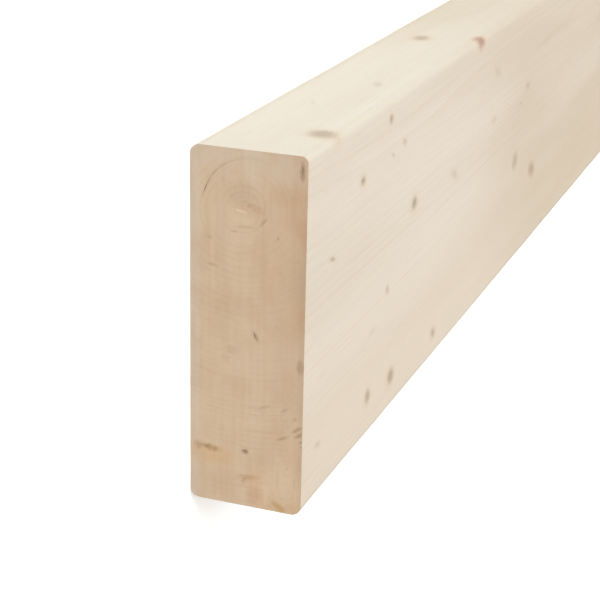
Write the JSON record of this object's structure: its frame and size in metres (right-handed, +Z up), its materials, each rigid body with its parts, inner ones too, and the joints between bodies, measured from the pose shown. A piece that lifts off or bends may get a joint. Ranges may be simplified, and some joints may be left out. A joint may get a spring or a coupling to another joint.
{
  "type": "timber plank",
  "caption": "Straight planed softwood plank with a flat rectangular section, rounded long edges and square-sawn ends, used as a joist, stud or framing board.",
  "frame": {"origin": "middle of the wide face that the plank lies on", "axes": "+X along the grain and the length, +Y across the wide face, +Z up through the thickness"},
  "size_m": [2.4, 0.148, 0.048],
  "materials": {
    "planed_spruce": "planed pale spruce, matt, with small brown knots and darker sawn end grain"
  },
  "bodies": {
    "root": {"plank": "planed_spruce"}
  },
  "joints": []
}
